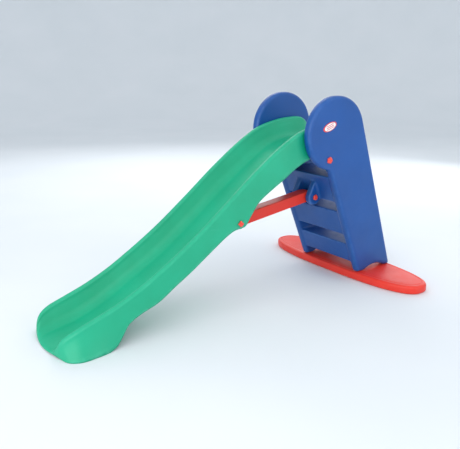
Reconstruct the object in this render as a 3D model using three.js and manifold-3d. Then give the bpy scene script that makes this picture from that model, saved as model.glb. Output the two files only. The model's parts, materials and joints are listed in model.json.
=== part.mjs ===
// Folding toddler slide. A moulded chute turns between the round ears of a hollow step ladder,
// the ladder is screwed to a wide oval base, and a hollow brace that swings on the ladder
// carries the chute's cross rod in an open cradle.
// Millimetres, +Z up. The chute's exit points to -X, the ladder stands at +X, left is -Y.
// X, Z pairs below are side-view places, before the group is centred on its length.

import * as THREE from 'three';
import { mergeVertices } from 'three/addons/utils/BufferGeometryUtils.js';
import Module from 'manifold-3d';

const wasm = await Module();
wasm.setup();

// Driving dimensions
const WALL = 5;
const SHEET = 5;
const GAP = 0.3;

const BASE = { x: 717, halfX: 127, halfY: 482.5, top: 39, round: 10, power: 2.6 };
const LADDER_FOOT = BASE.top + GAP;
const FRONT_FOOT_X = 608;
const REAR_FOOT_X = 834;
const FRONT_LEAN = 0.4104;
const PANEL_IN = 155;
const PANEL_OUT = 196;
const PANEL_ROUND = 11;
const EAR = { x: 420, z: 712, r: 160, flat: 13 };
const FOOT_ARCH = { front: 652, rear: 798, rise: 19 };

const RISER_RECESS = 6;
const RISER_THICK = 30;
const TREAD_NOSE = 40;
const STEPS = [
  { bottom: 84, top: 180 },
  { bottom: 230, top: 348 },
  { bottom: 395, top: 516 },
];
const DECK = { front: 430, bottom: 560, top: 636 };

const SLIDE_PIVOT = { x: 382, z: 601, lug: 38 };
const BRACE_PIVOT = { x: 434, z: 405, lug: 37, eye: 24 };
const LUG_IN = 32;
const LUG_OUT = 62;
const LUG = { front: 442, back: 480, top: 503, backTop: 500, bottom: 397 };
const ROD = { x: -66, z: 381, r: 8 };
const ROD_CLEAR = 1.5;
const LADDER_VENT = { x: 700, z: 90, half: 6 };

const EXIT_X = -854;
const UPPER_X = 550;
const RIM_HALF = 152.5;
const RIM_WIDTH = 28;
const BRACE_HALF = 30;
const BRACE_VENT = { x: 200, r: 8, bottom: 300, top: 370 };

const BOLT_R = 6;
const SLEEVE_R = 8;
const SCREW_R = 4;
const INSERT_R = 8;
const INSERT_DEPTH = 32;
const SCREW_HEAD = { r: 8.5, thick: 5.5, hole: 10, boss: 14 };
const DRAIN_R = 12;
const NUT_R = 13;
const HINGE_HEAD = { r: 15, lobes: 6, dip: 2.5 };
const PIVOT_HEAD = { r: 14, lobes: 6, dip: 2.5 };
const ROD_CAP = { r: 13, lobes: 4, dip: 4.5 };
const HEAD_TALL = 9;
const HEAD_ROUND = 1.2;
const SCREW_X = [632, 812];
const SCREW_Y = (PANEL_IN + PANEL_OUT) / 2;

// Materials
const blue = new THREE.MeshStandardMaterial({ color: 0x2e60ac, roughness: 0.5, metalness: 0 });
const green = new THREE.MeshStandardMaterial({ color: 0x2fb083, roughness: 0.45, metalness: 0 });
const red = new THREE.MeshStandardMaterial({ color: 0xe8463a, roughness: 0.45, metalness: 0 });
const white = new THREE.MeshStandardMaterial({ color: 0xf2f2f0, roughness: 0.4, metalness: 0 });
const nylon = new THREE.MeshStandardMaterial({ color: 0xe4e2da, roughness: 0.5, metalness: 0 });
const steel = new THREE.MeshStandardMaterial({ color: 0xb9bcc0, roughness: 0.35, metalness: 1 });

// Solids
function solid(geometry) {
  const loose = geometry.index ? geometry.toNonIndexed() : geometry.clone();
  loose.deleteAttribute('normal');
  loose.deleteAttribute('uv');
  const merged = mergeVertices(loose, 1e-3);
  return new wasm.Manifold(new wasm.Mesh({
    numProp: 3,
    vertProperties: merged.attributes.position.array,
    triVerts: new Uint32Array(merged.index.array),
  }));
}

function join(solids) {
  return solids.reduce((all, next) => all.add(next));
}

function cut(body, solids) {
  return solids.reduce((left, next) => left.subtract(next), body);
}

// A side-view outline (x, z) drawn across from y0 to y1, its edges rounded on request.
function across(shape, y0, y1, round = 0, curveSegments = 12) {
  const geometry = new THREE.ExtrudeGeometry(shape, {
    depth: y1 - y0 - 2 * round,
    curveSegments,
    bevelEnabled: round > 0,
    bevelThickness: round,
    bevelSize: round,
    bevelOffset: -round,
    bevelSegments: 2,
  });
  geometry.rotateX(Math.PI / 2);
  geometry.translate(0, y1 - round, 0);
  return solid(geometry);
}

function rodAcross(x, z, r, y0, y1, sides = 14) {
  const geometry = new THREE.CylinderGeometry(r, r, y1 - y0, sides);
  geometry.translate(x, (y0 + y1) / 2, z);
  return solid(geometry);
}

function post(x, y, r, z0, z1, sides = 12) {
  const geometry = new THREE.CylinderGeometry(r, r, z1 - z0, sides);
  geometry.rotateX(Math.PI / 2);
  geometry.translate(x, y, (z0 + z1) / 2);
  return solid(geometry);
}

function outline(points) {
  return new THREE.Shape(points.map(([x, z]) => new THREE.Vector2(x, z)));
}

// The same convex clockwise outline with every side moved in by d.
function shrink(points, d) {
  const count = points.length;
  const sides = points.map(([x, z], i) => {
    const [nextX, nextZ] = points[(i + 1) % count];
    const length = Math.hypot(nextX - x, nextZ - z);
    const normal = [(nextZ - z) / length, -(nextX - x) / length];
    return { normal, reach: normal[0] * x + normal[1] * z + d };
  });
  return sides.map((side, i) => {
    const last = sides[(i + count - 1) % count];
    const det = last.normal[0] * side.normal[1] - last.normal[1] * side.normal[0];
    const x = (last.reach * side.normal[1] - side.reach * last.normal[1]) / det;
    const z = (side.reach * last.normal[0] - last.reach * side.normal[0]) / det;
    return [x, z];
  });
}

function bothSides(make) {
  return [make(-1), make(1)];
}

function ordered(side, inner, outer) {
  return side < 0 ? [-outer, -inner] : [inner, outer];
}

// Ladder: one hollow moulding of two eared side panels, three steps, a deck and two lugs.
// An ear is two circle arcs with a short flat between them on top, and the panel's back edge
// runs straight from the rear arc to the foot.
const rearEarX = EAR.x + EAR.flat;
const footToEar = Math.hypot(REAR_FOOT_X - rearEarX, LADDER_FOOT - EAR.z);
const backAngle = Math.atan2(LADDER_FOOT - EAR.z, REAR_FOOT_X - rearEarX)
  + Math.acos(EAR.r / footToEar);

function frontX(z, inset = 0) {
  return FRONT_FOOT_X - FRONT_LEAN * (z - LADDER_FOOT) + inset * Math.hypot(1, FRONT_LEAN);
}

function backX(z, inset = 0) {
  return rearEarX + (EAR.r - inset - (z - EAR.z) * Math.sin(backAngle)) / Math.cos(backAngle);
}

// Where the straight front edge runs into the ear's circle, as an angle round the ear.
function frontMeetsEar(inset) {
  const start = frontX(0, inset) - EAR.x;
  const a = 1 + FRONT_LEAN ** 2;
  const b = -2 * (FRONT_LEAN * start + EAR.z);
  const c = start ** 2 + EAR.z ** 2 - (EAR.r - inset) ** 2;
  const z = (-b - Math.sqrt(b * b - 4 * a * c)) / (2 * a);
  return Math.atan2(z - EAR.z, frontX(z, inset) - EAR.x);
}

function panelShape(inset) {
  const low = LADDER_FOOT + inset;
  const peak = low + 2 * FOOT_ARCH.rise;
  const shape = new THREE.Shape();
  shape.moveTo(FOOT_ARCH.front - inset, low);
  shape.lineTo(frontX(low, inset), low);
  shape.absarc(EAR.x, EAR.z, EAR.r - inset, frontMeetsEar(inset), Math.PI / 2, true);
  shape.absarc(rearEarX, EAR.z, EAR.r - inset, Math.PI / 2, backAngle, true);
  shape.lineTo(backX(low, inset), low);
  shape.lineTo(FOOT_ARCH.rear + inset, low);
  shape.quadraticCurveTo((FOOT_ARCH.rear + FOOT_ARCH.front) / 2, peak,
    FOOT_ARCH.front - inset, low);
  return shape;
}

function stepOutline(step) {
  const face = frontX(step.bottom) + RISER_RECESS;
  return [
    [face, step.bottom],
    [frontX(step.top) + RISER_RECESS, step.top],
    [backX(step.top) - RISER_RECESS, step.top],
    [backX(step.top - TREAD_NOSE) - RISER_RECESS, step.top - TREAD_NOSE],
    [face + RISER_THICK, step.bottom],
  ];
}

const deckOutline = [
  [DECK.front, DECK.bottom],
  [DECK.front, DECK.top],
  [backX(DECK.top) - RISER_RECESS, DECK.top],
  [backX(DECK.top - TREAD_NOSE) - RISER_RECESS, DECK.top - TREAD_NOSE],
  [DECK.front + RISER_THICK, DECK.bottom],
];

function lugShape(inset) {
  const shape = new THREE.Shape();
  shape.moveTo(LUG.front + inset, LUG.top - inset);
  shape.lineTo(LUG.back - inset, LUG.backTop);
  shape.lineTo(LUG.back - inset, LUG.bottom + inset);
  shape.absarc(BRACE_PIVOT.x, BRACE_PIVOT.z, BRACE_PIVOT.lug - inset,
    -Math.PI / 3, Math.PI * 8 / 9, true);
  return shape;
}

function ladderForm(inset) {
  const reach = PANEL_IN + 2 * WALL;
  const panels = bothSides((side) => {
    const [y0, y1] = ordered(side, PANEL_IN + inset, PANEL_OUT - inset);
    return across(panelShape(inset), y0, y1, PANEL_ROUND - inset, 16);
  });
  const bars = [...STEPS.map(stepOutline), deckOutline].map((points) => (
    across(outline(inset ? shrink(points, inset) : points), -reach, reach)));
  const lugs = bothSides((side) => {
    const [y0, y1] = ordered(side, LUG_IN + inset, LUG_OUT - inset);
    return across(lugShape(inset), y0, y1, 0, 8);
  });
  return join([...panels, ...bars, ...lugs]);
}

function screwPlaces(make) {
  return SCREW_X.flatMap((x) => bothSides((side) => make(x, side * SCREW_Y)));
}

function ladder() {
  const hinge = [SLIDE_PIVOT.x, SLIDE_PIVOT.z];
  const pivot = [BRACE_PIVOT.x, BRACE_PIVOT.z];
  const insertTop = LADDER_FOOT + INSERT_DEPTH;
  const bosses = [
    rodAcross(...hinge, SLEEVE_R + WALL, -PANEL_OUT, PANEL_OUT),
    rodAcross(...pivot, BOLT_R + 2 * WALL, -LUG_OUT, LUG_OUT),
    ...screwPlaces((px, y) => post(px, y, INSERT_R + 4, LADDER_FOOT, insertTop + 4)),
  ];
  const shell = ladderForm(0).subtract(cut(ladderForm(WALL), bosses));
  const { x, z, half } = LADDER_VENT;
  const square = [[-half, -half], [-half, half], [half, half], [half, -half]];
  const vent = across(outline(square.map(([dx, dz]) => [x + dx, z + dz])),
    -PANEL_IN - 2 * WALL, -PANEL_IN + 2 * WALL);
  return cut(shell, [
    rodAcross(...hinge, SLEEVE_R + GAP, -PANEL_OUT - 1, PANEL_OUT + 1),
    rodAcross(...pivot, BOLT_R + GAP, -LUG_OUT - 1, LUG_OUT + 1),
    ...screwPlaces((px, y) => post(px, y, INSERT_R + GAP, LADDER_FOOT - 1, insertTop)),
    vent,
  ]);
}

// Base: a wide hollow superellipse plinth with four screw bosses.
function baseForm(inset) {
  const halfX = BASE.halfX - inset;
  const halfY = BASE.halfY - inset;
  const round = BASE.round - inset;
  const turns = 44;
  const points = [];
  for (let i = 0; i < turns; i += 1) {
    const angle = (i / turns) * 2 * Math.PI;
    const c = Math.cos(angle);
    const s = Math.sin(angle);
    points.push([
      halfX * Math.sign(c) * Math.abs(c) ** (2 / BASE.power),
      halfY * Math.sign(s) * Math.abs(s) ** (2 / BASE.power),
    ]);
  }
  const height = BASE.top - 2 * inset;
  const geometry = new THREE.ExtrudeGeometry(outline(points), {
    depth: height - 2 * round,
    bevelThickness: round,
    bevelSize: round,
    bevelOffset: -round,
    bevelSegments: 2,
  });
  geometry.translate(BASE.x, 0, inset + round);
  return solid(geometry);
}

const HEAD_SEAT = 24;

function base() {
  const bosses = screwPlaces((x, y) => post(x, y, SCREW_HEAD.boss, 0, BASE.top));
  const shell = baseForm(0).subtract(cut(baseForm(WALL), bosses));
  return cut(shell, [
    ...screwPlaces((x, y) => post(x, y, SCREW_HEAD.hole, -1, HEAD_SEAT)),
    ...screwPlaces((x, y) => post(x, y, SCREW_R + GAP, 0, BASE.top + 1)),
    post(BASE.x, 0, DRAIN_R, -1, 2 * WALL),
  ]);
}

// Chute: a lofted sheet. Each line gives a height or half-width against x.
function smoothLine(points) {
  const slope = (i) => {
    const [x0, v0] = points[Math.max(i - 1, 0)];
    const [x1, v1] = points[Math.min(i + 1, points.length - 1)];
    return (v1 - v0) / (x1 - x0);
  };
  return (x) => {
    const clamped = Math.min(Math.max(x, points[0][0]), points[points.length - 1][0]);
    const next = Math.max(1, points.findIndex(([px]) => px >= clamped));
    const [x0, v0] = points[next - 1];
    const [x1, v1] = points[next];
    const span = x1 - x0;
    const t = (clamped - x0) / span;
    const rise = v1 - v0;
    const a = slope(next - 1) * span - rise;
    const b = rise - slope(next) * span;
    return v0 + t * rise + t * (1 - t) * (a * (1 - t) + b * t);
  };
}

const rimLine = smoothLine([
  [-854, 24], [-846, 50], [-830, 72], [-810, 86], [-780, 99], [-700, 126], [-620, 155], [-540, 191],
  [-460, 235], [-300, 336], [-140, 455], [20, 580], [180, 688], [260, 727], [329, 745],
  [398, 756], [470, 759], [506, 756], [532, 742], [550, 716],
]);
const floorLine = smoothLine([
  [-854, 7], [-842, 11], [-820, 16], [-780, 22], [-700, 38], [-620, 66], [-540, 105],
  [-460, 150], [-300, 245], [-140, 362], [20, 487], [180, 600], [240, 634], [300, 656], [400, 671], [550, 672],
]);
const hemLine = smoothLine([
  [-854, 0], [-668, 0], [-640, 9], [-620, 26], [-601, 50], [-577, 80], [-528, 105], [-453, 132],
  [-376, 180], [-297, 228], [-206, 290], [-122, 346], [-66, 360], [-40, 372], [-13, 408],
  [28, 455], [82, 491], [168, 539], [218, 568], [288, 600], [330, 612],
]);
const flareLine = smoothLine([
  [-854, 46], [-770, 45], [-700, 38], [-645, 25], [-577, 10], [-500, 6], [160, 5], [240, 0], [550, 0],
]);

const UPPER_HEM = 640;
const CORNER = 90;

function hem(x) {
  const fromPivot = Math.abs(x - SLIDE_PIVOT.x);
  const lug = fromPivot < SLIDE_PIVOT.lug
    ? SLIDE_PIVOT.z - Math.sqrt(SLIDE_PIVOT.lug ** 2 - fromPivot ** 2)
    : Infinity;
  const plain = x < SLIDE_PIVOT.x ? hemLine(x) : UPPER_HEM;
  return Math.max(0, Math.min(plain, lug));
}

// Half of the chute's upper skin at x, from the middle of the floor out to the hem.
function chuteHalf(x, inset) {
  const rim = rimLine(x);
  const floor = floorLine(x);
  const depth = rim - floor;
  const crown = Math.min(12, Math.max(8, depth * 0.3));
  const fillet = Math.min(52, depth * 0.6);
  const inner = RIM_HALF - RIM_WIDTH;
  const points = [[0, floor - inset]];
  for (let i = 0; i <= 3; i += 1) {
    const angle = (i / 3) * Math.PI * 0.44;
    points.push([
      66 + (46 + inset) * Math.sin(angle),
      floor + fillet - (fillet + inset) * Math.cos(angle),
    ]);
  }
  const middle = inner + RIM_WIDTH / 2;
  for (let i = 0; i <= 4; i += 1) {
    const angle = Math.PI - (i / 4) * Math.PI;
    points.push([
      middle + (RIM_WIDTH / 2 - inset) * Math.cos(angle),
      rim - crown + (crown - inset) * Math.sin(angle),
    ]);
  }
  points.push([RIM_HALF + flareLine(x) - inset, hem(x)]);
  return points;
}

function chuteSection(x) {
  const mirror = (half) => half.slice(1).reverse().map(([y, z]) => [-y, z]);
  const skin = chuteHalf(x, 0);
  const back = chuteHalf(x, SHEET);
  const loop = [...mirror(skin), ...skin, ...[...mirror(back), ...back].reverse()];
  const nearExit = Math.max(0, 1 - (x - EXIT_X) / CORNER);
  const narrow = 1 - 0.3 * (1 - Math.sqrt(1 - nearExit ** 2));
  const bow = 24 * Math.max(0, 1 - (x - EXIT_X) / 170) ** 2;
  return loop.map(([y, z]) => new THREE.Vector3(x + bow * (y / 200) ** 2, y * narrow, z));
}

function evenly(from, to, count) {
  return Array.from({ length: count }, (_, i) => from + ((to - from) * i) / count);
}

const CHUTE_STATIONS = [
  ...evenly(EXIT_X, -836, 3), ...evenly(-836, -764, 3), ...evenly(-764, -668, 2),
  ...evenly(-668, -577, 4),
  ...evenly(-577, -130, 6), ...evenly(-130, -60, 2), ...evenly(-60, 28, 4),
  ...evenly(28, 344.2, 5), ...evenly(344.2, 419.8, 6), 419.8, 421, 460,
  ...evenly(506, UPPER_X, 3), UPPER_X,
];

// Joins sections that each run along the skin and return along the back, and closes both ends.
function loft(sections) {
  const ring = sections[0].length;
  const index = [];
  const quad = (a, b, c, d) => index.push(a, b, c, a, c, d);
  for (let s = 0; s + 1 < sections.length; s += 1) {
    for (let i = 0; i < ring; i += 1) {
      const a = s * ring + i;
      const b = s * ring + ((i + 1) % ring);
      quad(a, a + ring, b + ring, b);
    }
  }
  const last = (sections.length - 1) * ring;
  for (let i = 0; i + 1 < ring / 2; i += 1) {
    const under = ring - 1 - i;
    quad(i, i + 1, under - 1, under);
    quad(last + i, last + under, last + under - 1, last + i + 1);
  }
  const geometry = new THREE.BufferGeometry();
  geometry.setFromPoints(sections.flat());
  geometry.setIndex(index);
  return solid(geometry);
}

function chute() {
  return cut(loft(CHUTE_STATIONS.map(chuteSection)), [
    rodAcross(SLIDE_PIVOT.x, SLIDE_PIVOT.z, SLEEVE_R + GAP, -RIM_HALF - 10, RIM_HALF + 10),
    rodAcross(ROD.x, ROD.z, ROD.r + GAP, -RIM_HALF - 20, RIM_HALF + 20),
  ]);
}

// Brace: a hollow bar with an eye on the ladder's lugs and an open cradle under the rod.
const BRACE_END_X = -100;
const BRACE_LOW = { x: 396, z: 384, rise: 0.16 };
const BRACE_DEPTH = { z: 50, x: -10, taper: 0.019 };
const BRACE_CORNER = { low: 12, side: 14, top: 8 };
const EYE_SHOULDER = 18;
const MOUTH = { reach: 32, rise: 30, end: Math.PI * 1.72 };

function braceLow(x) {
  return BRACE_LOW.z + BRACE_LOW.rise * (x - BRACE_LOW.x);
}

function barShape(inset) {
  const shape = new THREE.Shape();
  const end = BRACE_END_X + inset;
  const shoulder = BRACE_PIVOT.x - EYE_SHOULDER;
  const depth = (x) => BRACE_DEPTH.z - (x - BRACE_DEPTH.x) * BRACE_DEPTH.taper;
  const top = (x) => braceLow(x) + depth(x) - inset;
  shape.moveTo(end + BRACE_CORNER.low, braceLow(end) + inset);
  shape.lineTo(end, braceLow(end) + BRACE_CORNER.side);
  shape.lineTo(end, top(end) - BRACE_CORNER.top);
  shape.lineTo(end + BRACE_CORNER.top, top(end));
  shape.lineTo(shoulder, top(shoulder));
  shape.absarc(BRACE_PIVOT.x, BRACE_PIVOT.z, BRACE_PIVOT.eye - inset,
    Math.PI * 0.55, -Math.PI * 0.55, true);
  return shape;
}

function cradleShape(inset) {
  const low = braceLow(ROD.x) + 22;
  return outline([
    [-100 + inset, low], [-100 + inset, 372 - inset], [-94 + inset, 380 - inset],
    [-58, 386 - inset], [-38, 394 - inset], [-30 - inset, 390 - inset],
    [4 - inset, low + 22], [4 - inset, low],
  ]);
}

// The space round the rod, open upwards and towards the ladder.
function cradleMouth(r) {
  const shape = new THREE.Shape();
  shape.moveTo(ROD.x + r + MOUTH.reach, ROD.z + MOUTH.rise);
  shape.lineTo(ROD.x - r, ROD.z + MOUTH.rise);
  shape.absarc(ROD.x, ROD.z, r, Math.PI, MOUTH.end, false);
  return shape;
}

function brace() {
  const bar = (inset) => join([
    across(barShape(inset), -BRACE_HALF + inset, BRACE_HALF - inset),
    across(cradleShape(inset), -BRACE_HALF + inset, BRACE_HALF - inset),
  ]);
  const clear = ROD.r + ROD_CLEAR;
  const y = BRACE_HALF + 1;
  const hole = rodAcross(BRACE_PIVOT.x, BRACE_PIVOT.z, SLEEVE_R + GAP, -y, y);
  const boss = rodAcross(BRACE_PIVOT.x, BRACE_PIVOT.z, SLEEVE_R + WALL, -y, y);
  const shell = bar(0).subtract(cut(bar(WALL), [across(cradleMouth(clear + WALL), -y, y), boss]));
  const vent = post(BRACE_VENT.x, 0, BRACE_VENT.r, BRACE_VENT.bottom, BRACE_VENT.top);
  return cut(shell, [across(cradleMouth(clear), -y, y), hole, vent]);
}

// Fasteners, drawn at the place where they sit
function lobedHead(x, z, { r, lobes, dip }, y0, y1) {
  const turns = 24;
  const points = [];
  for (let i = 0; i < turns; i += 1) {
    const angle = (i / turns) * 2 * Math.PI;
    const reach = r - dip * (0.5 - 0.5 * Math.cos(lobes * angle));
    points.push([x + reach * Math.cos(angle), z + reach * Math.sin(angle)]);
  }
  return across(outline(points), y0, y1, HEAD_ROUND);
}

function tube(x, z, outer, inner, y0, y1) {
  return rodAcross(x, z, outer, y0, y1).subtract(rodAcross(x, z, inner, y0 - 1, y1 + 1));
}

const NUT_AT = 130;

function hingeBolt(side) {
  const { x, z } = SLIDE_PIVOT;
  const seat = ordered(side, PANEL_OUT + GAP, PANEL_OUT + HEAD_TALL);
  const head = lobedHead(x, z, HINGE_HEAD, ...seat);
  return head.add(rodAcross(x, z, BOLT_R, ...ordered(side, NUT_AT, PANEL_OUT + 2)));
}

function hingeNut(side) {
  const [y0, y1] = ordered(side, NUT_AT + 1, RIM_HALF - SHEET - 3);
  return tubeHex(SLIDE_PIVOT.x, SLIDE_PIVOT.z, NUT_R, BOLT_R + GAP, y0, y1);
}

function tubeHex(x, z, r, inner, y0, y1) {
  return rodAcross(x, z, r, y0, y1, 6).subtract(rodAcross(x, z, inner, y0 - 1, y1 + 1));
}

function hingeSleeve(side) {
  const [y0, y1] = ordered(side, RIM_HALF - SHEET - 2.5, PANEL_OUT - GAP);
  return tube(SLIDE_PIVOT.x, SLIDE_PIVOT.z, SLEEVE_R, BOLT_R + GAP, y0, y1);
}

function pivotBolt() {
  const { x, z } = BRACE_PIVOT;
  const head = lobedHead(x, z, PIVOT_HEAD, -LUG_OUT - HEAD_TALL, -LUG_OUT - GAP);
  return head.add(rodAcross(x, z, BOLT_R, -LUG_OUT - 2, LUG_OUT + 14));
}

function rodCap(side) {
  const seat = RIM_HALF + 6;
  const cup = lobedHead(ROD.x, ROD.z, ROD_CAP, ...ordered(side, seat + 1, seat + 10));
  return cup.subtract(rodAcross(ROD.x, ROD.z, ROD.r + GAP, ...ordered(side, seat, seat + 6)));
}

function screw(x, y) {
  const head = post(x, y, SCREW_HEAD.r, HEAD_SEAT - SCREW_HEAD.thick, HEAD_SEAT - GAP);
  return head.add(post(x, y, SCREW_R, HEAD_SEAT - 2, LADDER_FOOT + 24));
}

function insert(x, y) {
  const tall = post(x, y, INSERT_R, LADDER_FOOT + GAP, LADDER_FOOT + 28);
  return tall.subtract(post(x, y, SCREW_R + GAP, LADDER_FOOT - 1, LADDER_FOOT + 30));
}

const BADGE = { x: 376, z: 745, halfX: 40, halfZ: 18, tilt: 0.33, thick: 2.5 };

function badge(side) {
  const shape = new THREE.Shape();
  shape.absellipse(BADGE.x, BADGE.z, BADGE.halfX, BADGE.halfZ, 0, 2 * Math.PI, false, BADGE.tilt);
  const face = PANEL_OUT + GAP;
  return across(shape, ...ordered(side, face, face + BADGE.thick), 0.8, 10);
}

// Assembly
const toddlerSlide = new THREE.Group();
toddlerSlide.name = 'toddler_slide';

function place(name, body, material) {
  const mesh = body.getMesh();
  const geometry = new THREE.BufferGeometry();
  geometry.setAttribute('position', new THREE.BufferAttribute(mesh.vertProperties, 3));
  geometry.setIndex(new THREE.BufferAttribute(mesh.triVerts, 1));
  geometry.computeVertexNormals();
  const piece = new THREE.Mesh(geometry, material);
  piece.name = name;
  toddlerSlide.add(piece);
}

place('ladder', ladder(), blue);
place('slide', chute(), green);
place('base', base(), red);
place('brace', brace(), red);

['left', 'right'].forEach((name, i) => {
  const side = i ? 1 : -1;
  place(`slide_hinge_bolt_${name}`, hingeBolt(side), red);
  place(`slide_hinge_nut_${name}`, hingeNut(side), nylon);
  place(`slide_hinge_sleeve_${name}`, hingeSleeve(side), nylon);
  place(`brace_rod_cap_${name}`, rodCap(side), red);
  place(`badge_${name}`, badge(side), white);
});

const pivot = [BRACE_PIVOT.x, BRACE_PIVOT.z];
place('brace_pivot_bolt', pivotBolt(), red);
place('brace_pivot_nut', tubeHex(...pivot, NUT_R, BOLT_R + GAP, LUG_OUT + 1, LUG_OUT + 12), nylon);
place('brace_pivot_sleeve', tube(...pivot, SLEEVE_R, BOLT_R + GAP, -BRACE_HALF, BRACE_HALF), nylon);
const rodReach = RIM_HALF + 6 + 5;
place('brace_rod', rodAcross(ROD.x, ROD.z, ROD.r, -rodReach, rodReach), steel);

SCREW_X.forEach((x, row) => {
  ['left', 'right'].forEach((name, i) => {
    const y = (i ? 1 : -1) * SCREW_Y;
    const at = `${row ? 'rear' : 'front'}_${name}`;
    place(`base_screw_${at}`, screw(x, y), steel);
    place(`base_insert_${at}`, insert(x, y), steel);
  });
});

toddlerSlide.position.x = -(EXIT_X + BASE.x + BASE.halfX) / 2;

export default toddlerSlide;
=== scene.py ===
"""Folding toddler slide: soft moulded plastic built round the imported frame.

Outlines are in millimetres in the slide's side view (x along the slide, z up) and are
moved onto the frame by its own boxes and joints. Left is the -Y side.
"""
import json
import math

import bmesh
import bpy
import numpy as np
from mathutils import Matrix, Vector


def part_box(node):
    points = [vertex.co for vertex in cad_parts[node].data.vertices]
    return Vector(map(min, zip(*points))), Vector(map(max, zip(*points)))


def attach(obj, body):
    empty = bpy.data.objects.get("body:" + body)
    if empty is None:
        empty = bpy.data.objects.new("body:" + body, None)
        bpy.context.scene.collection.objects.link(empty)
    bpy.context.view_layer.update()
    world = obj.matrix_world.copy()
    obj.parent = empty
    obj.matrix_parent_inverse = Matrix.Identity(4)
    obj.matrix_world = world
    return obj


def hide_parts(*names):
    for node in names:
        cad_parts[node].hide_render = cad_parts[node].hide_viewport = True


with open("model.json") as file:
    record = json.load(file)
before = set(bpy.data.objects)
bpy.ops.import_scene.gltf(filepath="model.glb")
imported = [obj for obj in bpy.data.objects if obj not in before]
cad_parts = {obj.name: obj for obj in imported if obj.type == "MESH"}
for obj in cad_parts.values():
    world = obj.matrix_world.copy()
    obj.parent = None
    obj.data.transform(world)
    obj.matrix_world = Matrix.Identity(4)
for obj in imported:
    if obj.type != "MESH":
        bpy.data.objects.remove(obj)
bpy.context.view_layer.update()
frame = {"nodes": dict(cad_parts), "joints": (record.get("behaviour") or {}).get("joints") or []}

MM = 0.001
EXIT_X = -854.0
UPPER_X = 550.0
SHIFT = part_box("slide")[0].x / MM - EXIT_X
JOINTS = {joint["name"]: joint["pos_m"] for joint in frame["joints"]}

# Sizes, in millimetres
BASE_LOW, BASE_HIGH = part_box("base")
LADDER_LOW, LADDER_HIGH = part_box("ladder")
LADDER_FOOT = LADDER_LOW.z / MM
EAR_R = 160.0
EAR_FLAT = 13.0
EAR_X = LADDER_LOW.x / MM - SHIFT + EAR_R
EAR_Z = LADDER_HIGH.z / MM - EAR_R
REAR_EAR_X = EAR_X + EAR_FLAT
FRONT_FOOT_X = 608.0
REAR_FOOT_X = LADDER_HIGH.x / MM - SHIFT
FRONT_LEAN = 0.4104
PANEL_IN = 155.0
PANEL_OUT = LADDER_HIGH.y / MM
PANEL_ROUND = 13.0
FOOT_ARCH_REAR, FOOT_ARCH_FRONT, FOOT_ARCH_RISE = 798.0, 652.0, 19.0
RISER_RECESS = 6.0
RISER_THICK = 30.0
TREAD_NOSE = 40.0
STEPS = ((84.0, 180.0), (230.0, 348.0), (395.0, 516.0))
DECK_FRONT, DECK_LOW, DECK_TOP = 430.0, 560.0, 636.0
HINGE_X, HINGE_Z = JOINTS["slide_fold"][0] / MM - SHIFT, JOINTS["slide_fold"][2] / MM
PIVOT_X, PIVOT_Z = JOINTS["brace_swing"][0] / MM - SHIFT, JOINTS["brace_swing"][2] / MM
HINGE_LUG = 38.0
PIVOT_LUG = 37.0
LUG_IN, LUG_OUT = 32.0, 62.0
LUG_FRONT, LUG_BACK = 442.0, 480.0
LUG_TOP, LUG_BACK_TOP, LUG_BOTTOM = 503.0, 500.0, 397.0
BOLT_R = 6.0
HINGE_HEAD_R, PIVOT_HEAD_R, CAP_HEAD_R = 15.0, 14.0, 13.0
HEAD_TALL, HEAD_LOBES, LOBE_DEPTH = 8.7, 5, 0.16
NUT_AT = 130.0
BASE_POWER = 2.6
ROD_LOW, ROD_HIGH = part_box("brace_rod")
ROD_X = (ROD_LOW.x + ROD_HIGH.x) / 2 / MM - SHIFT
ROD_Z = (ROD_LOW.z + ROD_HIGH.z) / 2 / MM
ROD_R = 8.0
RIM_HALF = 152.5
RIM_WIDTH = 28.0
SHEET = 5.0
BADGE_X, BADGE_Z, BADGE_TILT = 376.0, 745.0, 0.33
BADGE_HALF_X, BADGE_HALF_Z = 40.0, 18.0


# Materials

def rgb(red, green, blue):
    """Linear colour of an sRGB triple from 0 to 255."""
    values = []
    for value in (red, green, blue):
        share = value / 255
        values.append(share / 12.92 if share <= 0.04045 else ((share + 0.055) / 1.055) ** 2.4)
    return (*values, 1.0)


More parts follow.
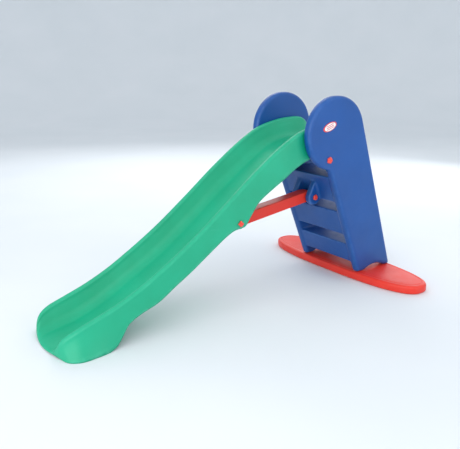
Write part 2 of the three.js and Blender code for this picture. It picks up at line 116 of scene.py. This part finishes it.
class Nodes:
    """A material's node tree with short calls to add and join nodes."""

    def __init__(self, name):
        self.material = bpy.data.materials.new(name)
        self.material.use_nodes = True
        self.tree = self.material.node_tree
        self.shader = self.tree.nodes["Principled BSDF"]
        self.place = self.add("ShaderNodeTexCoord").outputs["Object"]

    def add(self, kind, **settings):
        node = self.tree.nodes.new(kind)
        for key, value in settings.items():
            setattr(node, key, value)
        return node

    def join(self, source, target):
        self.tree.links.new(source, target)

    def noise(self, scale, detail=2.0, stretch=(1, 1, 1), roughness=0.5):
        mapping = self.add("ShaderNodeMapping")
        mapping.inputs["Scale"].default_value = stretch
        self.join(self.place, mapping.inputs["Vector"])
        noise = self.add("ShaderNodeTexNoise")
        noise.inputs["Scale"].default_value = scale
        noise.inputs["Detail"].default_value = detail
        noise.inputs["Roughness"].default_value = roughness
        self.join(mapping.outputs["Vector"], noise.inputs["Vector"])
        return noise.outputs["Fac"]

    def remap(self, value, from_low, from_high, to_low, to_high):
        node = self.add("ShaderNodeMapRange", clamp=True)
        for key, number in zip(("From Min", "From Max", "To Min", "To Max"),
                               (from_low, from_high, to_low, to_high)):
            node.inputs[key].default_value = number
        self.join(value, node.inputs["Value"])
        return node.outputs["Result"]

    def math(self, operation, first, second):
        node = self.add("ShaderNodeMath", operation=operation)
        for socket, value in zip(node.inputs, (first, second)):
            if isinstance(value, (int, float)):
                socket.default_value = value
            else:
                self.join(value, socket)
        return node.outputs["Value"]

    def blend(self, share, first, second):
        node = self.add("ShaderNodeMix", data_type="RGBA")
        self.join(share, node.inputs["Factor"])
        for key, value in (("A", first), ("B", second)):
            socket = next(s for s in node.inputs if s.name == key and s.type == "RGBA")
            if isinstance(value, tuple):
                socket.default_value = value
            else:
                self.join(value, socket)
        return next(s for s in node.outputs if s.type == "RGBA")

    def bump(self, layers):
        """Stacks (height, strength, depth in metres) layers of bump."""
        normal = None
        for height, strength, distance in layers:
            node = self.add("ShaderNodeBump")
            node.inputs["Strength"].default_value = strength
            node.inputs["Distance"].default_value = distance
            self.join(height, node.inputs["Height"])
            if normal is not None:
                self.join(normal, node.inputs["Normal"])
            normal = node.outputs["Normal"]
        self.join(normal, self.shader.inputs["Normal"])


def moulded_plastic(name, colour, deep, pale, gloss, scuffs=0.0):
    """Satin moulded polyethylene: cloudy pigment, orange-peel skin, scuffs, and edges lightened as
    rubbed wear and painted highlight.
    """
    nodes = Nodes(name)
    cloud = nodes.remap(nodes.noise(5.5, 3.0), 0.35, 0.65, 0.0, 1.0)
    body = nodes.blend(cloud, deep, colour)
    speck = nodes.remap(nodes.noise(140.0, 4.0, roughness=0.7), 0.62, 0.74, 0.0, 0.10)
    body = nodes.blend(speck, body, pale)
    edge = nodes.add("ShaderNodeNewGeometry").outputs["Pointiness"]
    # Convex edges blend towards pale: partly rubbed wear, partly a painted highlight along the rims
    # and ledges.
    rubbed_and_highlit = nodes.remap(edge, 0.51, 0.56, 0.0, 0.5)
    wear_and_highlight = nodes.math("MULTIPLY", rubbed_and_highlit, nodes.remap(nodes.noise(38.0, 4.0), 0.4, 0.65, 0.2, 1.0))
    body = nodes.blend(wear_and_highlight, body, pale)
    rough = nodes.remap(nodes.noise(17.0, 5.0, roughness=0.65), 0.3, 0.7, gloss - 0.05, gloss + 0.08)
    if scuffs:
        streaks = nodes.noise(60.0, 5.0, stretch=(0.05, 1.0, 0.4), roughness=0.75)
        marks = nodes.remap(streaks, 0.60, 0.72, 0.0, scuffs)
        body = nodes.blend(marks, body, pale)
        rough = nodes.math("ADD", rough, nodes.math("MULTIPLY", marks, 0.5))
    nodes.join(body, nodes.shader.inputs["Base Color"])
    nodes.join(rough, nodes.shader.inputs["Roughness"])
    nodes.shader.inputs["IOR"].default_value = 1.5
    nodes.bump((
        (nodes.noise(22.0, 2.0), 0.10, 0.0012),
        (nodes.noise(420.0, 3.0), 0.12, 0.0002),
    ))
    return nodes.material


def zinc_steel():
    nodes = Nodes("zinc_steel")
    spangle = nodes.remap(nodes.noise(300.0, 4.0), 0.35, 0.65, 0.0, 1.0)
    nodes.join(nodes.blend(spangle, rgb(150, 153, 158), rgb(200, 202, 204)),
               nodes.shader.inputs["Base Color"])
    nodes.join(nodes.remap(nodes.noise(90.0, 3.0), 0.3, 0.7, 0.25, 0.45),
               nodes.shader.inputs["Roughness"])
    nodes.shader.inputs["Metallic"].default_value = 1.0
    nodes.bump(((nodes.noise(500.0, 2.0), 0.1, 0.0001),))
    return nodes.material


def printed_badge():
    """A plain oval decal: white, with a red border and three red bars."""
    nodes = Nodes("badge_print")
    centre_x, centre_z, tilt = (BADGE_X + SHIFT) * MM, BADGE_Z * MM, BADGE_TILT
    mapping = nodes.add("ShaderNodeMapping", vector_type="TEXTURE")
    mapping.inputs["Location"].default_value = (centre_x, 0.0, centre_z)
    mapping.inputs["Rotation"].default_value = (0.0, -tilt, 0.0)
    mapping.inputs["Scale"].default_value = (BADGE_HALF_X * MM, 1.0, BADGE_HALF_Z * MM)
    nodes.join(nodes.place, mapping.inputs["Vector"])
    split = nodes.add("ShaderNodeSeparateXYZ")
    nodes.join(mapping.outputs["Vector"], split.inputs["Vector"])
    across, up = split.outputs["X"], split.outputs["Z"]
    radius = nodes.math("POWER", nodes.math("ADD", nodes.math("MULTIPLY", across, across),
                                            nodes.math("MULTIPLY", up, up)), 0.5)
    border = nodes.remap(radius, 0.80, 0.84, 0.0, 1.0)
    height = nodes.math("ABSOLUTE", up, 0.0)
    bars = nodes.math("MULTIPLY", nodes.remap(height, 0.30, 0.34, 0.0, 1.0),
                      nodes.remap(height, 0.46, 0.50, 1.0, 0.0))
    bars = nodes.math("MAXIMUM", bars, nodes.remap(height, 0.07, 0.11, 1.0, 0.0))
    short = nodes.remap(nodes.math("ABSOLUTE", across, 0.0), 0.52, 0.56, 1.0, 0.0)
    red = nodes.math("MAXIMUM", border, nodes.math("MULTIPLY", bars, short))
    ink = nodes.blend(nodes.noise(60.0), rgb(214, 60, 66), rgb(228, 84, 86))
    paper = nodes.blend(nodes.noise(45.0), rgb(236, 234, 232), rgb(250, 250, 250))
    nodes.join(nodes.blend(red, paper, ink), nodes.shader.inputs["Base Color"])
    nodes.join(nodes.remap(nodes.noise(80.0), 0.3, 0.7, 0.28, 0.4), nodes.shader.inputs["Roughness"])
    nodes.bump(((nodes.noise(400.0), 0.08, 0.0001),))
    return nodes.material


blue = moulded_plastic("blue_polyethylene", rgb(8, 80, 156), rgb(6, 75, 148),
                       rgb(104, 144, 200), 0.44)
green = moulded_plastic("green_polyethylene", rgb(8, 170, 128), rgb(6, 162, 120),
                        rgb(96, 200, 170), 0.42, scuffs=0.10)
red = moulded_plastic("red_polyethylene", rgb(236, 52, 34), rgb(228, 47, 31),
                      rgb(242, 120, 100), 0.44)
fastener = moulded_plastic("red_fastener", rgb(238, 66, 52), rgb(228, 56, 44),
                           rgb(248, 140, 120), 0.36)
nylon = moulded_plastic("natural_nylon", rgb(226, 223, 212), rgb(214, 210, 198),
                        rgb(245, 244, 240), 0.45)
steel = zinc_steel()
badge_print = printed_badge()


# Mesh tools

def new_piece(name, points, faces):
    """An object from points in millimetres of the side view and faces by index."""
    placed = np.asarray(points, float) + (SHIFT, 0.0, 0.0)
    mesh = bpy.data.meshes.new(name)
    mesh.from_pydata((placed * MM).tolist(), [], faces)
    piece = bpy.data.objects.new(name, mesh)
    bpy.context.scene.collection.objects.link(piece)
    face_out(piece)
    return piece


def face_out(piece):
    shape = bmesh.new()
    shape.from_mesh(piece.data)
    bmesh.ops.recalc_face_normals(shape, faces=shape.faces)
    shape.to_mesh(piece.data)
    shape.free()
    smooth_all(piece)


def smooth_all(piece):
    piece.data.polygons.foreach_set("use_smooth", [True] * len(piece.data.polygons))
    piece.data.update()


def bake_modifiers(piece):
    view = bpy.context.evaluated_depsgraph_get()
    mesh = bpy.data.meshes.new_from_object(piece.evaluated_get(view))
    piece.modifiers.clear()
    piece.data = mesh
    smooth_all(piece)


def finish_piece(piece, material, body, slot, *nodes):
    piece.data.materials.clear()
    piece.data.materials.append(material)
    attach(piece, body)
    if nodes:
        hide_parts(*nodes)
    return piece


def merge(name, pieces):
    """One object from several closed shells; the parts are removed."""
    whole = bmesh.new()
    for piece in pieces:
        whole.from_mesh(piece.data)
        bpy.data.objects.remove(piece)
    mesh = bpy.data.meshes.new(name)
    whole.to_mesh(mesh)
    whole.free()
    joined = bpy.data.objects.new(name, mesh)
    bpy.context.scene.collection.objects.link(joined)
    return joined


def soften(piece, voxel, passes):
    """Fuses overlapping shells into one skin and melts its edges into mould fillets."""
    remesh = piece.modifiers.new("fuse", "REMESH")
    remesh.mode = "VOXEL"
    remesh.voxel_size = voxel * MM
    fillet = piece.modifiers.new("fillets", "SMOOTH")
    fillet.factor = 0.5
    fillet.iterations = passes
    bake_modifiers(piece)
    return piece


def drill(piece, cutters):
    for cutter in cutters:
        cut = piece.modifiers.new("cut", "BOOLEAN")
        cut.operation = "DIFFERENCE"
        cut.solver = "EXACT"
        cut.object = cutter
    bake_modifiers(piece)
    for cutter in cutters:
        bpy.data.objects.remove(cutter)
    return piece


def arc(x, z, r, start, end, count):
    """Points on a circle from one angle to another, in degrees."""
    angles = np.radians(np.linspace(start, end, count))
    return [(x + r * math.cos(a), z + r * math.sin(a)) for a in angles]


def prism(name, outline, y0, y1, rounding=0.0, steps=4):
    """A side-view outline drawn across from y0 to y1, with rounded face edges."""
    count = len(outline)
    points = [(x, y0, z) for x, z in outline] + [(x, y1, z) for x, z in outline]
    faces = [list(range(count)), list(range(2 * count - 1, count - 1, -1))]
    faces += [[i, (i + 1) % count, count + (i + 1) % count, count + i] for i in range(count)]
    piece = new_piece(name, points, faces)
    if rounding:
        shape = bmesh.new()
        shape.from_mesh(piece.data)
        rims = [edge for edge in shape.edges
                if abs(edge.verts[0].co.y - edge.verts[1].co.y) < 1e-6]
        bmesh.ops.bevel(shape, geom=rims, offset=rounding * MM, offset_type="OFFSET",
                        segments=steps, profile=0.5, affect="EDGES", clamp_overlap=False)
        shape.to_mesh(piece.data)
        shape.free()
    return piece


def turned(name, x, z, side, profile, reach=None, count=64):
    """A knob on a Y axis. The profile is (radius, distance from the middle plane) from its
    outer centre to its inner centre, and reach(angle, radius) scales the radius there."""
    points = []
    for radius, y in profile:
        for i in range(count):
            angle = 2 * math.pi * i / count
            lobe = reach(angle, radius) if reach else 1.0
            points.append((x + radius * lobe * math.cos(angle), side * y,
                           z + radius * lobe * math.sin(angle)))
    faces = []
    for ring in range(len(profile) - 1):
        for i in range(count):
            a, b = ring * count + i, ring * count + (i + 1) % count
            faces.append([a, b, b + count, a + count])
    faces.append(list(range(count)))
    last = (len(profile) - 1) * count
    faces.append(list(range(last, last + count)))
    return new_piece(name, points, faces)


def line_through(*points):
    """A smooth curve value(x) through the points, with no overshoot between them."""
    xs, values = np.array(points, float).T
    spans, rises = np.diff(xs), np.diff(values)
    grades = rises / spans
    slopes = np.zeros(len(xs))
    slopes[0], slopes[-1] = grades[0], grades[-1]
    for i in range(1, len(xs) - 1):
        if grades[i - 1] * grades[i] > 0:
            weight = spans[i - 1] + 2 * spans[i], 2 * spans[i - 1] + spans[i]
            slopes[i] = sum(weight) / (weight[1] / grades[i - 1] + weight[0] / grades[i])

    def value(x):
        x = min(max(x, xs[0]), xs[-1])
        i = min(int(np.searchsorted(xs, x, side="right")) - 1, len(spans) - 1)
        t = (x - xs[i]) / spans[i]
        a = slopes[i] * spans[i] - rises[i]
        b = rises[i] - slopes[i + 1] * spans[i]
        return values[i] + t * rises[i] + t * (1 - t) * (a * (1 - t) + b * t)

    return value


# Chute: one moulded sheet, swept as a section along the slide

rim_line = line_through(
    (-854, 5), (-850, 26), (-843, 50), (-830, 70), (-810, 85), (-780, 99), (-700, 126),
    (-620, 155), (-540, 191), (-460, 235), (-300, 336), (-140, 455), (20, 580), (180, 688),
    (260, 727), (329, 745), (398, 756), (470, 759), (506, 755), (530, 742), (543, 725), (550, 700))
floor_line = line_through(
    (-854, 3), (-850, 8), (-842, 12), (-820, 16), (-780, 22), (-700, 38), (-620, 66),
    (-540, 105), (-460, 150), (-300, 245), (-140, 362), (20, 487), (180, 600), (240, 634),
    (300, 656), (400, 671), (530, 672), (545, 668), (550, 660))
hem_line = line_through(
    (-668, 0), (-640, 9), (-620, 26), (-601, 50), (-577, 80), (-528, 105), (-453, 132), (-376, 180),
    (-297, 228), (-206, 290), (-122, 344), (-90, 357), (-44, 364), (-13, 402), (28, 455),
    (82, 491), (168, 539), (218, 568), (288, 600), (330, 612))
flare_line = line_through(
    (-854, 46), (-770, 45), (-700, 38), (-645, 25), (-577, 10), (-500, 7), (160, 5), (240, 0),
    (550, 0))
UPPER_HEM = 640.0
ROD_BOSS = 22.0
CORNER = 90.0


def disc_low(x, centre_x, centre_z, r):
    across = abs(x - centre_x)
    return centre_z - math.sqrt(r * r - across * across) if across < r else math.inf


def hem(x):
    if x < -668:
        return 0.0
    plain = hem_line(x) if x < HINGE_X else UPPER_HEM
    return min(plain, disc_low(x, HINGE_X, HINGE_Z, HINGE_LUG), disc_low(x, ROD_X, ROD_Z, ROD_BOSS))


def chute_half(x, inset):
    """Half of the section at x, from the middle of the floor out to the hem."""
    rim, floor, low = rim_line(x), floor_line(x), hem(x)
    depth = rim - floor
    crown = min(13.0, max(1.5, depth * 0.35))
    inset = min(inset, max(0.6, crown - 0.8), max(0.6, floor - 0.8))
    fillet = min(56.0, depth * 0.62)
    wall_y, turn = RIM_HALF - RIM_WIDTH, math.radians(68)
    points = [(y, floor + 1.5 * (y / 60) ** 2 - inset) for y in (0, 15, 30, 45)]
    for angle in np.linspace(0, turn, 12):
        points.append((60 + (52 + inset) * math.sin(angle),
                       floor + 1.5 + fillet - (fillet + inset) * math.cos(angle)))
    foot_y, foot_z = points[-1]
    top_y, top_z = wall_y + inset, rim - crown
    points += [(foot_y + (top_y - foot_y) * s, foot_z + (top_z - foot_z) * s)
               for s in (0.33, 0.67)]
    middle = wall_y + RIM_WIDTH / 2
    for angle in np.linspace(math.pi, 0, 13):
        points.append((middle + (RIM_WIDTH / 2 - inset) * math.cos(angle),
                       rim - crown + (crown - inset) * math.sin(angle)))
    for share in (0.15, 0.3, 0.45, 0.6, 0.75, 0.9, 1.0):
        y = RIM_HALF + flare_line(x) * share ** 1.2 - inset
        points.append((y, top_z + (low - top_z) * share))
    return points


def chute_ring(x):
    def both(half):
        return [(-y, z) for y, z in reversed(half[1:])] + half

    loop = both(chute_half(x, 0.0)) + list(reversed(both(chute_half(x, SHEET))))
    near_exit = max(0.0, 1 - (x - EXIT_X) / CORNER)
    narrow = 1 - 0.3 * (1 - math.sqrt(1 - near_exit ** 2))
    bow = 26 * max(0.0, 1 - (x - EXIT_X) / 170) ** 2
    return [(x + bow * (y / 200) ** 2, y * narrow, max(z, 0.3)) for y, z in loop]


def along_chute():
    """Places of the sections, closest where the outline turns fast."""
    lug = HINGE_X + HINGE_LUG * np.cos(np.linspace(math.pi, 0, 25))
    spans = [
        EXIT_X + 90 * (1 - np.cos(np.linspace(0, math.pi / 2, 26))),
        np.linspace(-760, -675, 7), np.linspace(-668, -570, 14), np.linspace(-560, -110, 34),
        np.linspace(-100, 30, 24), np.linspace(40, 335, 22), lug, np.linspace(430, 500, 6),
        UPPER_X - 40 * (1 - np.sin(np.linspace(0, math.pi / 2, 14))),
    ]
    return sorted(set(np.round(np.concatenate(spans), 3)))


def swept(name, rings):
    count = len(rings[0])
    points = [point for ring in rings for point in ring]
    faces = []
    for s in range(len(rings) - 1):
        for i in range(count):
            a, b = s * count + i, s * count + (i + 1) % count
            faces.append([a, b, b + count, a + count])
    last = (len(rings) - 1) * count
    for i in range(count // 2 - 1):
        j = count - 1 - i
        faces.append([i, i + 1, j - 1, j])
        faces.append([last + i, last + i + 1, last + j - 1, last + j])
    return new_piece(name, points, faces)


def rod_cutter(x, z, r, half):
    return turned("cutter", x, z, 1, ((r, half), (r, -half)), count=40)


chute = swept("chute", [chute_ring(x) for x in along_chute()])
drill(chute, [rod_cutter(HINGE_X, HINGE_Z, 8.4, RIM_HALF + 12),
              rod_cutter(ROD_X, ROD_Z, ROD_R + 0.4, RIM_HALF + 20)])
finish_piece(chute, green, "chute", "green_plastic", "slide")


# Ladder: panels, steps, deck and lugs fused into one moulding

FOOT_TO_EAR = math.hypot(REAR_FOOT_X - REAR_EAR_X, LADDER_FOOT - EAR_Z)
BACK_ANGLE = (math.atan2(LADDER_FOOT - EAR_Z, REAR_FOOT_X - REAR_EAR_X)
              + math.acos(EAR_R / FOOT_TO_EAR))


def front_x(z):
    return FRONT_FOOT_X - FRONT_LEAN * (z - LADDER_FOOT)


def back_x(z):
    return REAR_EAR_X + (EAR_R - (z - EAR_Z) * math.sin(BACK_ANGLE)) / math.cos(BACK_ANGLE)


def front_meets_ear():
    """The height at which the straight front edge runs into the ear's circle."""
    start = front_x(0) - EAR_X
    a = 1 + FRONT_LEAN ** 2
    b = -2 * (FRONT_LEAN * start + EAR_Z)
    c = start ** 2 + EAR_Z ** 2 - EAR_R ** 2
    return (-b - math.sqrt(b * b - 4 * a * c)) / (2 * a)


def panel_outline():
    meet = front_meets_ear()
    first = math.degrees(math.atan2(meet - EAR_Z, front_x(meet) - EAR_X))
    edge = [(front_x(z), z) for z in np.linspace(LADDER_FOOT, meet - 12, 12)]
    ear = arc(EAR_X, EAR_Z, EAR_R, first - 3, -270, 48)
    ear += arc(REAR_EAR_X, EAR_Z, EAR_R, -270, math.degrees(BACK_ANGLE) - 360, 20)
    back = [(back_x(z), z) for z in np.linspace(ear[-1][1] - 30, LADDER_FOOT, 14)]
    arch = []
    for share in np.linspace(0, 1, 14):
        arch.append((FOOT_ARCH_REAR + (FOOT_ARCH_FRONT - FOOT_ARCH_REAR) * share,
                     LADDER_FOOT + FOOT_ARCH_RISE * 4 * share * (1 - share)))
    return edge + ear + back + arch


def step_outline(bottom, top):
    face = front_x(bottom) + RISER_RECESS
    return [
        (face, bottom), (front_x(top) + RISER_RECESS, top), (back_x(top) - RISER_RECESS, top),
        (back_x(top - TREAD_NOSE) - RISER_RECESS, top - TREAD_NOSE), (face + RISER_THICK, bottom),
    ]


def lug_outline():
    front = arc(PIVOT_X, PIVOT_Z, PIVOT_LUG, 160, 300, 28)
    return [(LUG_BACK, LUG_BACK_TOP), (LUG_FRONT, LUG_TOP)] + front + [(LUG_BACK, LUG_BOTTOM)]


def ladder_parts():
    parts = []
    reach = PANEL_IN + 15
    for side in (-1, 1):
        y0, y1 = sorted((side * PANEL_IN, side * PANEL_OUT))
        parts.append(prism("panel", panel_outline(), y0, y1, PANEL_ROUND))
        y0, y1 = sorted((side * LUG_IN, side * LUG_OUT))
        parts.append(prism("lug", lug_outline(), y0, y1, 5.0))
    for bottom, top in STEPS:
        parts.append(prism("step", step_outline(bottom, top), -reach, reach))
    deck = [(DECK_FRONT, DECK_LOW), (DECK_FRONT, DECK_TOP),
            (back_x(DECK_TOP) - RISER_RECESS, DECK_TOP),
            (back_x(DECK_TOP - TREAD_NOSE) - RISER_RECESS, DECK_TOP - TREAD_NOSE),
            (DECK_FRONT + RISER_THICK, DECK_LOW)]
    parts.append(prism("deck", deck, -reach, reach))
    return parts


LADDER_VOXEL = 4.6
ladder = soften(merge("ladder_shell", ladder_parts()), LADDER_VOXEL, 7)
finish_piece(ladder, blue, "stand", "blue_plastic", "ladder")


# Base: a superellipse plinth with a rounded rim and a shallow line round its top

def base_ring(inset, z, count=180):
    centre = (BASE_LOW.x + BASE_HIGH.x) / 2 / MM - SHIFT
    half_x = (BASE_HIGH.x - BASE_LOW.x) / 2 / MM - inset
    half_y = BASE_HIGH.y / MM - inset
    ring = []
    for angle in np.linspace(0, 2 * math.pi, count, endpoint=False):
        c, s = math.cos(angle), math.sin(angle)
        ring.append((centre + half_x * math.copysign(abs(c) ** (2 / BASE_POWER), c),
                     half_y * math.copysign(abs(s) ** (2 / BASE_POWER), s), z))
    return ring


def base_mesh():
    top, rounding = BASE_HIGH.z / MM, 13.0
    rings = [base_ring(8, 0.0)]
    for angle in np.radians(np.linspace(30, 90, 4)):
        rings.append(base_ring(8 * (1 - math.sin(angle)), 8 * (1 - math.cos(angle))))
    for angle in np.radians(np.linspace(0, 90, 10)):
        rings.append(base_ring(rounding * (1 - math.cos(angle)),
                               top - rounding * (1 - math.sin(angle)) - 0.8 * math.sin(angle)))
    groove = ((19, 0.8), (20.5, 2.2), (22, 2.2), (24, 0.5), (27, 0.0), (60, 0.0), (100, 0.0))
    rings += [base_ring(inset, top - drop) for inset, drop in groove]
    count = len(rings[0])
    points = [point for ring in rings for point in ring]
    faces = []
    for r in range(len(rings) - 1):
        for i in range(count):
            a, b = r * count + i, r * count + (i + 1) % count
            faces.append([a, b, b + count, a + count])
    last = (len(rings) - 1) * count
    faces += [list(range(count)), list(range(last, last + count))]
    return new_piece("base_shell", points, faces)


def upright_cutter(x, y, r, z0, z1):
    ring = [(math.cos(a), math.sin(a)) for a in np.linspace(0, 2 * math.pi, 32, endpoint=False)]
    points = [(x + r * c, y + r * s, z) for z in (z0, z1) for c, s in ring]
    faces = [[i, (i + 1) % 32, 32 + (i + 1) % 32, 32 + i] for i in range(32)]
    return new_piece("cutter", points, faces + [list(range(32)), list(range(32, 64))])


def screw_centre(name):
    low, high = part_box(name)
    return (low.x + high.x) / 2 / MM - SHIFT, (low.y + high.y) / 2 / MM


SCREWS = [f"base_screw_{row}_{side}" for row in ("front", "rear") for side in ("left", "right")]
base = drill(base_mesh(), [upright_cutter(*screw_centre(name), 10, -1, 24) for name in SCREWS])
finish_piece(base, red, "stand", "red_plastic", "base")


# Brace: a bar with an eye at the ladder and an open cradle under the cross rod

BRACE_END_X = -100.0
BRACE_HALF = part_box("brace")[1].y / MM


def brace_low(x):
    return 384 + 0.16 * (x - 396)


def brace_outline():
    end = BRACE_END_X

    def top(x):
        return brace_low(x) + 50 - (x + 10) * 0.019

    clear = ROD_R + 2.2
    mouth = arc(ROD_X, ROD_Z, clear, 320, 180, 18)
    ramp = (ROD_X + clear * math.cos(math.radians(320)) + 10,
            ROD_Z + clear * math.sin(math.radians(320)) + 12)
    eye = arc(PIVOT_X, PIVOT_Z, 24, 99, -99, 28)
    return ([(end + 10, brace_low(end)), (end, brace_low(end) + 12), (end, 372), (end + 6, 380),
             (ROD_X - clear, 384)] + list(reversed(mouth))
            + [ramp, (-42, 393), (-32, 390), (2, top(2) + 3), (20, top(20))]
            + [(PIVOT_X - 18, top(PIVOT_X - 18))] + eye)


brace = soften(prism("brace_shell", brace_outline(), -BRACE_HALF, BRACE_HALF, 5.0), 2.4, 4)
finish_piece(brace, red, "brace_arm", "red_plastic", "brace")


# Fasteners

def lobes(count, depth, r):
    """A radius scale that pinches a head into lobes, more towards its rim."""
    def reach(angle, radius):
        pinch = min(1.0, radius / r) ** 2
        return 1 - depth * pinch * (0.5 - 0.5 * math.cos(count * angle))
    return reach


def head_profile(r, seat, height, shaft_r, shaft_end):
    """Domed head with a dimple, then a shaft to its inner end."""
    top = seat + height
    return (
        (0.6, top - 1.6), (r * 0.22, top - 1.5), (r * 0.30, top - 0.4), (r * 0.42, top),
        (r * 0.62, top - 0.3), (r * 0.80, top - 1.2), (r * 0.93, top - 2.8), (r, top - 5.0),
        (r, seat + 1.0), (r * 0.97, seat + 0.3), (shaft_r + 0.5, seat + 0.3),
        (shaft_r, seat + 0.3), (shaft_r, shaft_end + 1), (shaft_r - 1, shaft_end), (0.6, shaft_end),
    )


for side, label in ((-1, "left"), (1, "right")):
    bolt = turned(f"hinge_bolt_{label}", HINGE_X, HINGE_Z, side,
                  head_profile(HINGE_HEAD_R, PANEL_OUT, HEAD_TALL, BOLT_R, NUT_AT),
                  lobes(HEAD_LOBES, LOBE_DEPTH, HINGE_HEAD_R), 80)
    finish_piece(bolt, fastener, "stand", "red_fastener", f"slide_hinge_bolt_{label}")
    cap_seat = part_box(f"brace_rod_cap_{label}")
    seat = min(abs(cap_seat[0].y), abs(cap_seat[1].y)) / MM
    cap = turned(f"rod_cap_{label}", ROD_X, ROD_Z, side,
                 head_profile(CAP_HEAD_R, seat - 0.3, 9.2, ROD_R + 1, seat - 0.3),
                 lobes(4, 0.34, CAP_HEAD_R), 80)
    finish_piece(cap, fastener, "chute", "red_fastener", f"brace_rod_cap_{label}")

pivot_bolt = turned("pivot_bolt", PIVOT_X, PIVOT_Z, -1,
                    head_profile(PIVOT_HEAD_R, LUG_OUT, HEAD_TALL, BOLT_R, -LUG_OUT - 14),
                    lobes(HEAD_LOBES, LOBE_DEPTH, PIVOT_HEAD_R), 80)
finish_piece(pivot_bolt, fastener, "stand", "red_fastener", "brace_pivot_bolt")

rod_half = ROD_HIGH.y / MM
rod = turned("cross_rod", ROD_X, ROD_Z, 1,
             ((ROD_R - 1, rod_half), (ROD_R, rod_half - 1), (ROD_R, 1 - rod_half),
              (ROD_R - 1, -rod_half)), count=48)
finish_piece(rod, steel, "chute", "steel", "brace_rod")


def badge(side, label):
    """A thin domed oval plate, tilted on the ear's outer face."""
    seat = PANEL_OUT + 0.3
    profile = ((0.02, 2.5), (0.5, 2.45), (0.8, 2.3), (0.93, 1.9), (0.99, 1.2), (1.0, 0.6),
               (1.0, 0.0), (0.02, 0.0))
    count = 64
    points, faces = [], []
    for share, lift in profile:
        for i in range(count):
            angle = 2 * math.pi * i / count
            u = BADGE_HALF_X * share * math.cos(angle)
            v = BADGE_HALF_Z * share * math.sin(angle)
            points.append((BADGE_X + u * math.cos(BADGE_TILT) - v * math.sin(BADGE_TILT),
                           side * (seat + lift),
                           BADGE_Z + u * math.sin(BADGE_TILT) + v * math.cos(BADGE_TILT)))
    for ring in range(len(profile) - 1):
        for i in range(count):
            a, b = ring * count + i, ring * count + (i + 1) % count
            faces.append([a, b, b + count, a + count])
    last = (len(profile) - 1) * count
    faces += [list(range(count)), list(range(last, last + count))]
    plate = new_piece(f"badge_plate_{label}", points, faces)
    return finish_piece(plate, badge_print, "stand", "badge", f"badge_{label}")


badge(-1, "left")
badge(1, "right")

# CAD nodes that stay get their material and a soft edge
for name, node in frame["nodes"].items():
    for word, material in (("nut", nylon), ("sleeve", nylon), ("screw", steel), ("insert", steel)):
        if word in name:
            node.data.materials.clear()
            node.data.materials.append(material)
            bevel = node.modifiers.new("edge", "BEVEL")
            bevel.width = 0.6 * MM
            bevel.segments = 2
            bevel.limit_method = "ANGLE"


# Stage: pale floor, soft lights and the camera

def studio_bowl():
    """A pale floor that curves up into a wall all round, so that no horizon shows."""
    flat, bend, wall, count = 7.0, 4.0, 6.0, 96
    profile = [(0.5, 0.0), (3.0, 0.0), (flat - 0.3, 0.0), (flat, 0.0)]
    profile += [(flat + bend * math.sin(a), bend * (1 - math.cos(a)))
                for a in np.radians(np.linspace(9, 90, 10))]
    profile.append((flat + bend, bend + wall))
    points = [(r * math.cos(2 * math.pi * i / count), r * math.sin(2 * math.pi * i / count), z)
              for r, z in profile for i in range(count)]
    faces = [list(range(count))]
    for ring in range(len(profile) - 1):
        for i in range(count):
            a, b = ring * count + i, ring * count + (i + 1) % count
            faces.append([a, a + count, b + count, b])
    mesh = bpy.data.meshes.new("studio_bowl")
    mesh.from_pydata(points, [], faces)
    bowl = bpy.data.objects.new("studio_bowl", mesh)
    bpy.context.scene.collection.objects.link(bowl)
    smooth_all(bowl)
    nodes = Nodes("pale_floor")
    tone = nodes.remap(nodes.noise(1.2, 2.0), 0.3, 0.7, 0.0, 1.0)
    nodes.join(nodes.blend(tone, rgb(226, 231, 235), rgb(230, 234, 238)),
               nodes.shader.inputs["Base Color"])
    nodes.shader.inputs["Roughness"].default_value = 1.0
    nodes.shader.inputs["Specular IOR Level"].default_value = 0.0
    mesh.materials.append(nodes.material)
    bowl.location.z = -0.5 * MM


def area_light(name, place, aim, size, watts, colour=(1, 1, 1)):
    light = bpy.data.lights.new(name, "AREA")
    light.shape = "SQUARE"
    light.size = size
    light.energy = watts
    light.color = colour
    lamp = bpy.data.objects.new(name, light)
    bpy.context.scene.collection.objects.link(lamp)
    lamp.location = place
    lamp.rotation_euler = (Vector(aim) - Vector(place)).to_track_quat("-Z", "Y").to_euler()


def camera():
    """Stands left of the chute and looks across it at the ladder."""
    place = Vector((-1450.0 + SHIFT, -2020.3, 1030.4)) * MM
    yaw, pitch = math.radians(35.57), math.radians(15.7)
    look = Vector((math.sin(yaw) * math.cos(pitch), math.cos(yaw) * math.cos(pitch),
                   -math.sin(pitch)))
    data = bpy.data.cameras.new("camera")
    data.lens = 46.64
    data.sensor_width = 36.0
    view = bpy.data.objects.new("camera", data)
    view.location = place
    view.rotation_euler = look.to_track_quat("-Z", "Y").to_euler()
    bpy.context.scene.collection.objects.link(view)
    bpy.context.scene.camera = view


studio_bowl()
middle = (0.0, 0.0, 0.4)
area_light("key", (-2.6, -3.0, 2.2), middle, 2.8, 62)
area_light("fill", (1.8, -3.6, 1.6), middle, 2.8, 30)
area_light("front", (-3.8, -0.6, 1.3), middle, 2.4, 46)
area_light("back", (1.6, 3.2, 2.6), middle, 2.6, 50)
area_light("behind_steps", (3.6, 0.9, 1.6), middle, 2.2, 26)
world = bpy.data.worlds.new("studio")
world.use_nodes = True
world.node_tree.nodes["Background"].inputs["Color"].default_value = (0.94, 0.97, 1.0, 1.0)
world.node_tree.nodes["Background"].inputs["Strength"].default_value = 0.95
bpy.context.scene.world = world
bpy.context.scene.view_settings.view_transform = "Standard"
camera()
